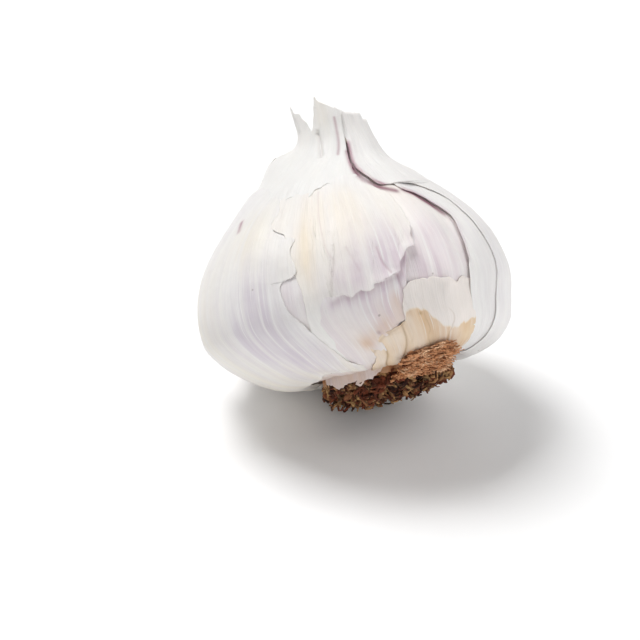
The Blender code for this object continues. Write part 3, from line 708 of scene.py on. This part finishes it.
def outer_leaves():
    """The torn leaves that show: the cream flap in front, and the white ones that run up into the neck."""
    leaf(
        "front_flap_leaf", "front_flap", cream_leaf, "cream_skin", FLAP,
        left=[
            (-22, 10), (-23, 14), (-22, 18), (-20.5, 21.5), (-19.3, 24), (-19.2, 27.5), (-20.5, 31),
            (-23, 34), (-25, 40.6), (-30, 42.6), (-36, 45.2), (-36, 48.6), (-40, 53.6), (-42, 60),
            (-42, 68),
        ],
        right=[
            (24.5, 33), (25.5, 35.6), (27.4, 40), (27, 46), (23.5, 50), (19, 52.9), (12.5, 58.8), (8.5, 65),
            (6, 70), (5, 73),
        ],
        foot=[(-22, 10), *FLUSH, *TEAR],
        top=[(-42, 68), (-12, 71), (5, 73)],
        cells=(230, 200), tear=(0.12, 0.3, 0.45, 0), hug=(0.1, 0.2, 0, 0), curl=(0, 0.05, 0, 0),
        bend=flap_bend, seed=600,
        tint=lambda a, m: (
            (0.2 + 0.35 * spot(a, m, (-4, 44), (20, 9)) + 0.85 * spot(a, m, (-17, 36), (4, 7)))
            * (1 - ramp((m - 48) / 8))
            - 0.3 * spot(a, m, (12, 31), (10, 4)) - 0.2 * (1 - ramp((m - 22) / 8)),
            0.12 + 0.9 * spot(a, m, (14, 32), (13, 7)) + 0.5 * spot(a, m, (-1, 29), (9, 3.5)),
            # The dark line along the fine crack is painted shade in it.
            0.35 * stripe(a, m, [*FLAP_CRACK, (13.5, 28.6)], 0.22)
            + 0.16 * stripe(a, m, [(-9.5, 51), (-9.5, 44), (-8, 36), (-6, 33)], 0.2)
            + 0.16 * stripe(a, m, [(-0.5, 35), (2.5, 29.8)], 0.2)
            + 0.8 * stripe(a, m, [(27, 49), (19, 53.2), (17, 55)], 0.5),
        ),
    )
    leaf(
        "left_outer_leaf", "left_outer_skin", white_leaf, "white_skin", OUTER,
        left=[(-124, 1.5), (-124, 66)],
        right=[
            (-4.5, 5.4), (-8, 6.8), (-14.5, 8.9), (-18, 11.7), (-19.5, 15.2), (-20.5, 18), (-22, 21.8),
            (-25, 24.6), (-27, 28), (-26.8, 30.6), (-21.5, 31.6), (-20, 33), (-22.3, 37.3), (-20.8, 39.7),
            (-28.5, 41.5), (-33.5, 44.4), (-31.5, 48.1), (-36.5, 53.1), (-40, 60), (-40, 66),
        ],
        foot=[
            (-124, 1.5), (-75, 3), (-55, 5.4), (-44, 6.4), (-36, 8.6), (-30, 8.6), (-22, 7.3), (-12, 5.4),
            (-4.5, 5.4),
        ],
        cells=(230, 190), tear=(0, 0.22, 0.35, 0), hug=(0, 0.2, 0.5, 0), curl=(0, 0.06, 0.2, 0), seed=700,
        bend=lambda a, m: (
            1.6 * spot(a, m, (-102, 56), (32, 5.5))
            - 0.28 * stripe(a, m, [(-8, 6.8), (-19.5, 15.2), (-25, 24.6), (-27, 28), (-26.5, 31)], 3.5)
            - 0.16 * stripe(
                a, m, [(-20.8, 39.7), (-28.5, 41.5), (-33.5, 44.4), (-31.5, 48.1), (-36.5, 53.1)], 2.5
            )
            - 0.25 * spot(a, m, (-29.5, 42), (6, 2))
        ),
        tint=lambda a, m: (
            0.08 + 0.7 * spot(a, m, (-45, 42), (14, 8)) + 0.5 * spot(a, m, (-75, 26), (16, 12))
            # The cream that rises towards the foot is partly the leaf's own faint cream there and partly
            # painted warm shade of the lower side.
            + 0.4 * spot(a, m, (-24, 36), (5, 5)) + 0.7 * (1 - ramp((m - 6) / 16)),
            0.2 + 0.9 * spot(a, m, (-37, 24), (9, 9)) + 0.6 * spot(a, m, (-50, 20), (14, 10))
            + 0.6 * spot(a, m, (-26, 14), (12, 7)),
            0.9 * stripe(a, m, [(-60, 47.8), (-58, 46.4), (-57, 45.4)], 0.55),
        ),
    )
    leaf(
        "right_outer_leaf", "right_outer_skin", white_leaf, "white_skin", OUTER,
        left=[
            (60, 1.5), (61, 18), (64, 28), (62.5, 35.4), (62, 40), (62, 44.1), (56.5, 47.8), (50, 49.8),
            (41, 50.2), (34, 50.6), (27.5, 50.6), (22, 53.4), (15.5, 59.2), (11.2, 65.5), (8, 69.5),
            (4, 72.6),
        ],
        right=[(160, 1.5), (160, 71)],
        top=[(4, 72.6), (22, 71.4), (50, 70.8), (85, 69.8), (120, 71), (160, 71)],
        cells=(200, 170), tear=(0.14, 0, 0, 0.3), hug=(0.42, 0, 0, 0), curl=(0.1, 0, 0, 0.2), seed=800,
        bend=lambda a, m: (
            0.15 * spot(a, m, (48, 51), (8, 2.5)) - 0.3 * spot(a, m, (32, 51), (8, 3))
            + 0.4 * stripe(a, m, [(22, 53), (15, 59.5), (11, 65)], 2.0)
        ),
        tint=lambda a, m: (
            0.1 + 0.5 * spot(a, m, (108, 36), (14, 12)) + 0.4 * spot(a, m, (138, 22), (14, 12)),
            0.2 + 0.3 * spot(a, m, (70, 30), (12, 12)) + 0.5 * spot(a, m, (98, 20), (9, 12))
            + 0.5 * spot(a, m, (126, 30), (9, 14)),
            0.8 * stripe(a, m, [(30, 50.4), (22, 53.2), (15.5, 59.2), (11.2, 65.5)], 0.6),
        ),
    )
    leaf(
        "back_outer_leaf", "back_outer_skin", cream_leaf, "cream_skin", BACK_OUTER,
        left=[(-203, 1.5), (-203, 68)],
        right=[(-121, 1.5), (-121, 62)],
        top=[(-203, 68), (-175, 64.5), (-150, 67), (-121, 62)],
        cells=(130, 130), tear=(0, 0, 0, 0.5), curl=(0, 0, 0, 0.4), seed=900,
        tint=lambda a, m: (
            0.35 + 0.3 * spot(a, m, (-165, 30), (25, 14)),
            0.12 + 0.3 * spot(a, m, (-140, 22), (14, 14)), 0.0,
        ),
    )


def wrap_bend(angle, run):
    """The wrap stands off at the left of the neck, lies flush at its foot, and has a narrow fold."""
    wing = 3.6 * np.exp(-(((angle + 100) / 30) ** 2)) * (0.5 + 0.5 * ramp((run - 55.5) / 6.5))
    wing = wing * np.exp(-((np.maximum(run - 63, 0) / 3.0) ** 2))
    spike = 1.3 * spot(angle, run, (-88, 75), (28, 5.0))
    left_foot = stripe(angle, run, [*WRAP_FOOT, (-19, 50.2)], 3.0)
    right_foot = stripe(angle, run, [(3, 54.2), (9, 54.8), (17, 55.5)], 3.0)
    fold = stripe(angle, run, [(-33, 68), (-28, 65), (-22.5, 63)], 0.5)
    return wing + spike - 0.55 * left_foot - 0.75 * right_foot - 0.7 * fold


def neck_leaves():
    """The wrap round the neck with its spike and notch, and the dry sheaths inside the neck."""
    leaf(
        "neck_wrap_leaf", "neck_wrap", white_leaf, "white_skin", WRAP,
        left=[(-114, 57), (-118, 62.5)],
        right=[*WRAP_EDGE, (8.2, 67), (10, 70), (14, 71.6)],
        foot=[
            *WRAP_FOOT, (-17, 49.9), (-14, 50.6), (-12, 51.9), (-8.5, 52.1), (-5, 53.3), (0, 53.2),
            (3, 54.4), (9, 54.6), (18, 54.8),
        ],
        top=[
            (-118, 62.5), (-110, 63.8), (-101, 63.7), (-96.5, 63.3), (-94.5, 62), (-92, 61.8),
            (-88.5, 63.5), (-86, 68), (-84.5, 71.5), (-81, 74.9), (-76, 73.3), (-66, 72.6), (-56, 71.2),
            (-44, 68.8), (-37, 71.5), (-30, 75.0), (-26, 74.5), (-18, 73.8), (-8, 73.0), (14, 71.6),
        ],
        cells=(200, 110), tear=(0.1, 0.12, 0.2, 0.25), hug=(0.2, 0.1, 0.2, 0), curl=(0, 0.1, 0.1, 0.1),
        bend=wrap_bend, seed=1000,
        tint=lambda a, m: (
            0.08 + 0.3 * spot(a, m, (-20, 72), (16, 4)), 0.06,
            0.55 * stripe(a, m, [(-2, 70.5), (-2.5, 63)], 0.3)
            # The faint dark line along the fold is painted shade in its crease.
            + 0.1 * stripe(a, m, [(-33, 68), (-22.5, 63)], 0.3) + 0.8 * stripe(a, m, WRAP_EDGE, 0.5),
        ),
    )
    foot = 60
    for name, rise, height, seed in (
        ("neck_sheath_outer", -0.9, 70.0, 1100),
        ("neck_sheath_middle", -2.0, 69.4, 1200),
        ("neck_sheath_inner", -3.3, 68.4, 1300),
    ):
        leaf(
            name, "bulb_of_cloves", cream_leaf, "cream_skin", rise,
            left=[(-190, foot), (-190, height)], right=[(178, foot), (178, height)],
            top=[
                (-190, height), (-100, height + 1), (-20, height - 0.8), (60, height + 0.8), (178, height),
            ],
            cells=(150, 30), tear=(0, 0, 0, 0.7), seed=seed,
            bend=lambda a, m: 0.12 * a / 180, tint=lambda a, m: (0.7, 0.05, 0.25 * ramp((m - 68) / 4)),
        )


# The corky plate: radius, depth below the bulb's base, and what the collar at its right adds to the radius.
PLATE = [
    (11.6, -2.5, 0.0), (12.3, -1.0, 0.3), (12.3, -0.3, 4.6), (12.3, 0.6, 4.0), (11.2, 1.5, 0.6),
    (9.9, 1.9, 0.2),
]
COLLAR_FROM, COLLAR_TO, COLLAR_FADE = 5.0, 57.0, 14

# The roots' core: radius and depth below the bulb's base.
ROOT_CORE = [(9.7, 1.5), (10.2, 2.0), (9.9, 2.6), (7.5, 3.1), (4.0, 3.3)]

# Fibres: how many there are of each kind, and the points along each.
ROOTS, SHORT_ROOTS, ROOT_POINTS = 470, 360, 16
COLLAR_FIBRES, TISSUE_FIBRES, FIBRE_POINTS = 240, 150, 12
# The roots: each sway's size and how fast it turns, their smallest and largest radius, and how far from the
# crown's centre they start. Sizes in millimetres.
ROOT_SWAYS = ((1.2, 1.0), (0.62, 2.0))
ROOT_RADII = (0.26, 0.72)
ROOTS_REACH = 9.6
# The angle of the crown that lies lowest, where the roots come nearest to the floor.
LOWEST_ANGLE = -156
# A fibre's cross-section: its sides, how flat it is, and how much thinner its end is.
STRAND_SIDES, STRAND_FLATNESS, STRAND_TAPER = 5, 0.6, 0.55


def crown_point(radius, angle, depth):
    """A point of the root crown: radius from its centre, angle round it, depth below the bulb's base."""
    around = np.radians(angle)
    side = radius * np.sin(around)
    return stacked(CROWN_SHIFT + side, -radius * np.cos(around), CROWN_TILT * side - depth)


def collar_share(angle):
    """Share of the collar's reach at an angle: a smooth step up at its start, and one down at its end."""
    return ramp((angle - COLLAR_FROM) / COLLAR_FADE) * ramp((COLLAR_TO - angle) / COLLAR_FADE)


def plate():
    """The corky plate: a profile turned round the crown, its rim torn and its face ridged by noise."""
    angle = np.linspace(-180, 180, 360, endpoint=False)[None]
    profile = smooth_line(PLATE, 9)
    radius, depth, collar = (profile[::-1, k, None] for k in range(3))
    ragged = rough(angle, 0 * angle, (40, 1.0, 31, 0.7), (100, 1.0, 32, 0.5))
    out = radius + np.maximum(collar, 0) * collar_share(angle) * (1 + 0.16 * ragged)
    ridges = rough(angle, out, (40, 0.7, 33, 0.34), (130, 0.4, 34, 0.2)) * ramp((out - 9) / 2)
    side = rest(crown_point(out + 0.2 * ragged, angle, depth + ridges))
    points = with_ends(side, *[rest(crown_point(0.0, 0.0, profile[k, 1])) for k in (-1, 0)])
    tone = 0.55 + rough(angle, out, (30, 2.0, 35, 0.3))
    light = 0.35 + 0.4 * collar_share(angle)
    # The grain is long round the plate and short across it.
    places = with_ends(stacked(0.05 * angle, 1.6 * out, 0), [0, 0, 0], [0, 0, 0])
    shares = with_ends(stacked(tone, light, 0), [0.5, 0.3, 0], [0.5, 0.3, 0])
    faces = closed_faces(*side.shape[:2])
    add_piece("corky_plate", points, faces, places, shares, corky, "basal_plate", "basal_plate")


def strands(name, lines, width, tone, light, material, slot):
    """Many thin dry fibres in one mesh: a tapering flat ring carried along each line, closed at both ends.

    lines has a row for each fibre, of points in millimetres; width, tone and light have a value for each.
    """
    many, steps = lines.shape[:2]
    step = np.gradient(lines, axis=1)
    step /= np.linalg.norm(step, axis=-1)[..., None]
    # Any direction that no fibre follows for long serves to find one square to it.
    across = np.cross(step, [0.31, 0.87, 0.38])
    across /= np.linalg.norm(across, axis=-1)[..., None]
    over = STRAND_FLATNESS * np.cross(step, across)
    turn = np.radians(np.arange(STRAND_SIDES) * 360 / STRAND_SIDES)[None, None, :, None]
    t = np.linspace(0, 1, steps)
    size = width[:, None] * (1 - STRAND_TAPER * t**2)
    ring = across[:, :, None] * np.cos(turn) + over[:, :, None] * np.sin(turn)
    points = lines[:, :, None] + size[:, :, None, None] * ring
    points[..., 2] = np.maximum(points[..., 2], FLOOR_GAP)
    side = grid_faces(steps, STRAND_SIDES, wrap=True)
    start = np.arange(many)[:, None, None] * steps * STRAND_SIDES
    loop = np.arange(STRAND_SIDES)
    caps = [start + loop[::-1][None, None], start + (steps - 1) * STRAND_SIDES + loop[None, None]]
    faces = [(start + side[None]).reshape(-1, 4), *[cap.reshape(-1, STRAND_SIDES) for cap in caps]]
    # The grain runs along each fibre, and its own number sets it apart from the others.
    length = np.linalg.norm(np.diff(lines, axis=1), axis=-1).sum(axis=1)
    along = (length[:, None] * t)[..., None] * 0.9
    number = np.arange(many)[:, None, None] * 1.37
    places = stacked(along, np.cos(turn[..., 0]), number)
    none = np.zeros((many, steps, STRAND_SIDES))
    shares = stacked(tone[:, None, None] + 0.25 * t[None, :, None], light[:, None, None], none)
    add_piece(name, points, faces, places, shares, material, slot)


def sines(draw, shape, turns, t):
    """A sine along t for each place of shape, of a random number of turns and from a random start."""
    return np.sin(2 * math.pi * (draw.uniform(*turns, shape) * t + draw.uniform(0, 1, shape)))


def root_mat():
    """The matted dry roots: curly fibres that leave the crown, over a core that closes what is behind them.

    A fibre starts at a radius and an angle of the crown, which follow a sunflower's spiral, runs down or,
    near the rim, outwards, and sways by two sines of its own on each of three axes. Short fibres cover the
    side of the plate, but not where its collar is.
    """
    draw = np.random.default_rng(41)
    angle = np.linspace(-180, 180, 120, endpoint=False)[None]
    profile = smooth_line(ROOT_CORE, 6)[::-1]
    radius, depth = profile[:, 0, None], profile[:, 1, None]
    lumps = rough(angle, radius, (30, 1.2, 51, 0.35))
    side = rest(crown_point(radius + lumps, angle, depth + lumps))
    points = with_ends(side, *[rest(crown_point(0.0, 0.0, ROOT_CORE[k][1])) for k in (-1, 0)])
    faces = closed_faces(*side.shape[:2])
    # The core gets no tone or pale share of its own, so it comes out mostly near-black: painted shade in
    # the gaps of the mat.
    add_piece("root_core", points, faces, points * 0.5, 0 * points, rooty, "roots", "root_tuft")

    many = ROOTS
    share = np.sqrt((np.arange(many) + 0.5) / many)
    around = np.degrees(np.arange(many) * math.pi * (3 - math.sqrt(5))) + draw.uniform(-8, 8, many)
    t = np.linspace(0, 1, ROOT_POINTS)[None]
    rim = ramp((share - 0.62) / 0.3)
    under = np.maximum(np.cos(np.radians(around - LOWEST_ANGLE)), 0) * rim
    reach = (draw.uniform(-0.4, 1.2, many) + rim * draw.uniform(0.6, 1.7, many))[:, None]
    drop = draw.uniform(0.4, 2.0, many) * (1 - 0.5 * rim) + 2.0 * under
    swirl = draw.uniform(-26, 26, many)[:, None]
    start = 1.8 + 0.8 * (1 - rim)[:, None]
    base = crown_point(
        ROOTS_REACH * share[:, None] + reach * t, around[:, None] + swirl * t, start + drop[:, None] * t
    )
    sway = sum(
        size * sines(draw, (many, 1, 3), (0.6, 1.4), turns * t[..., None]) for size, turns in ROOT_SWAYS
    )
    roots = rest(base + sway * (0.25 + 0.75 * t[..., None]))

    many = SHORT_ROOTS
    around = draw.uniform(COLLAR_TO - 8, COLLAR_FROM + 372, many)[:, None]
    out = draw.uniform(0, 1, (many, 1))
    low = draw.uniform(0.3, 1.8, (many, 1))
    base = crown_point(
        11.7 + 0.3 * out + 0.7 * out * t, around + draw.uniform(-9, 9, (many, 1)) * t,
        low + draw.uniform(0.3, 1.7, (many, 1)) * t,
    )
    short_roots = rest(base + 0.34 * sines(draw, (many, 1, 3), (0.6, 1.8), t[..., None]))

    lines = np.concatenate([roots, short_roots])
    many = len(lines)
    width = draw.uniform(*ROOT_RADII, many)
    lines[..., 2] = np.maximum(lines[..., 2], STRAND_FLATNESS * width[:, None] + FLOOR_GAP)
    tone = draw.uniform(-0.25, 1.0, many)
    strands("dry_roots", lines, width, tone, draw.uniform(0, 1, many), rooty, "roots")


def tissue():
    """The fibrous tissue over the husk, next to the collar of the plate."""
    leaf(
        "collar_tissue", "basal_plate", corky, "basal_plate", UNDER + 0.85,
        left=[(7, 2.5), (7, 7)], right=[(45, 2.5), (41, 9)], top=TISSUE, cells=(170, 50),
        tear=(0, 0, 0, 0.55), hug=(0.3, 0.3, 0, 0.2), curl=(0, 0, 0, 0.25), wrinkle=0.2, seed=1400,
        tint=lambda a, m: (
            0.5 + rough(a, m, (90, 0.8, 66, 0.45)), 0.45 + rough(a, m, (70, 1.6, 67, 0.5)), 0.0,
        ),
    )


def plate_fibres():
    """Split fibres that lie round the crown and sway by a sine: on the plate's collar, where they curl out
    at the rim, and on the tissue over the husk.
    """
    draw = np.random.default_rng(61)
    t = np.linspace(0, 1, FIBRE_POINTS)[None]
    many = COLLAR_FIBRES
    middle = draw.uniform(COLLAR_FROM + 3, COLLAR_TO - 3, many)
    angle = middle[:, None] + draw.uniform(5, 17, many)[:, None] * (t - 0.5)
    place = draw.uniform(0, 1, many)[:, None]
    share = collar_share(middle)[:, None]
    radius = 11.8 + (4.6 * place + 0.5) * share + draw.uniform(-0.8, 1.3, (many, 1)) * t**2
    depth = 1.75 - 1.7 * place * share + draw.uniform(-0.1, 0.45, (many, 1))
    sway = 0.42 * sines(draw, (many, 1), (1, 3), t)
    on_collar = rest(crown_point(radius + sway, angle, depth + 0.8 * sway + 0.1))

    many = TISSUE_FIBRES
    middle = draw.uniform(9, 39, many)
    top = np.interp(middle, *np.array(TISSUE).T)
    angle = middle[:, None] + draw.uniform(3, 9, many)[:, None] * (t - 0.5)
    run = (top - (top - 3.5) * draw.uniform(0, 1, many) ** 1.5)[:, None]
    run = run + draw.uniform(-0.6, 1.4, (many, 1)) * (t - 0.5)
    sway = 0.45 * sines(draw, (many, 1), (1, 3), t)
    rise = UNDER + 1.0 + draw.uniform(0, 0.35, (many, 1)) + 0.6 * sway
    on_tissue = rest(bulb_point(angle, run + sway, rise))

    lines = np.concatenate([on_collar, on_tissue])
    many = len(lines)
    strands(
        "plate_fibres", lines, draw.uniform(0.1, 0.3, many), draw.uniform(0.15, 1.2, many),
        draw.uniform(0, 1, many), corky, "basal_plate",
    )


def stage():
    """The pale floor, the camera at the photograph's angle, and soft studio light: a key lamp from above at
    the back left, and three weaker ones that fill in from the front and both sides.
    """
    scene = bpy.context.scene
    objects = scene.collection.objects
    corners = [(x * FLOOR_HALF, y * FLOOR_HALF, 0) for x, y in ((-1, -1), (1, -1), (1, 1), (-1, 1))]
    floor = bpy.data.meshes.new("floor")
    floor.from_pydata(corners, [], [(0, 1, 2, 3)])
    # Painted studio floor: matt and nearly white, so that only the shadow shows.
    pale, _, shader = new_material("pale studio floor")
    shader.inputs["Base Color"].default_value = linear("#FBFBFB")
    shader.inputs["Roughness"].default_value = 0.9
    shader.inputs["Specular IOR Level"].default_value = 0.1
    floor.materials.append(pale)
    ground = bpy.data.objects.new("floor", floor)
    objects.link(ground)

    tilt = math.radians(CAMERA_ELEVATION)
    up = np.array([0, math.sin(tilt), math.cos(tilt)])
    forward = np.array([0, math.cos(tilt), -math.sin(tilt)])
    target = RESTING_PLACE.copy()
    target[0] += (PHOTO_SIZE / 2 - CROWN_PIXEL[0]) / PHOTO_SCALE
    target -= (PHOTO_SIZE / 2 - CROWN_PIXEL[1]) / PHOTO_SCALE * up
    view = bpy.data.cameras.new("camera")
    view.sensor_width = SENSOR_WIDTH
    view.lens = SENSOR_WIDTH * PHOTO_SCALE * CAMERA_DISTANCE / PHOTO_SIZE
    view.clip_start = 0.02
    camera = bpy.data.objects.new("camera", view)
    camera.location = (target - forward * CAMERA_DISTANCE) * MM
    camera.rotation_euler = (math.pi / 2 - tilt, 0, 0)
    objects.link(camera)
    scene.camera = camera

    for name, place, power, size in LAMPS:
        lamp = bpy.data.lights.new(name, "AREA")
        lamp.energy = power
        lamp.size = size
        light = bpy.data.objects.new(name, lamp)
        light.location = place
        x, y, z = np.array(LAMP_AIM) - np.array(place)
        light.rotation_euler = (math.atan2(math.hypot(x, y), -z), 0, math.atan2(x, -y) + math.pi)
        objects.link(light)

    world = bpy.data.worlds.new("studio")
    world.use_nodes = True
    even = world.node_tree.nodes["Background"].inputs
    even["Color"].default_value = (1, 1, 1, 1)
    even["Strength"].default_value = EVEN_LIGHT
    scene.world = world
    scene.view_settings.view_transform = "Standard"


stage()
cloves()
under_leaves()
outer_leaves()
neck_leaves()
plate()
tissue()
root_mat()
plate_fibres()
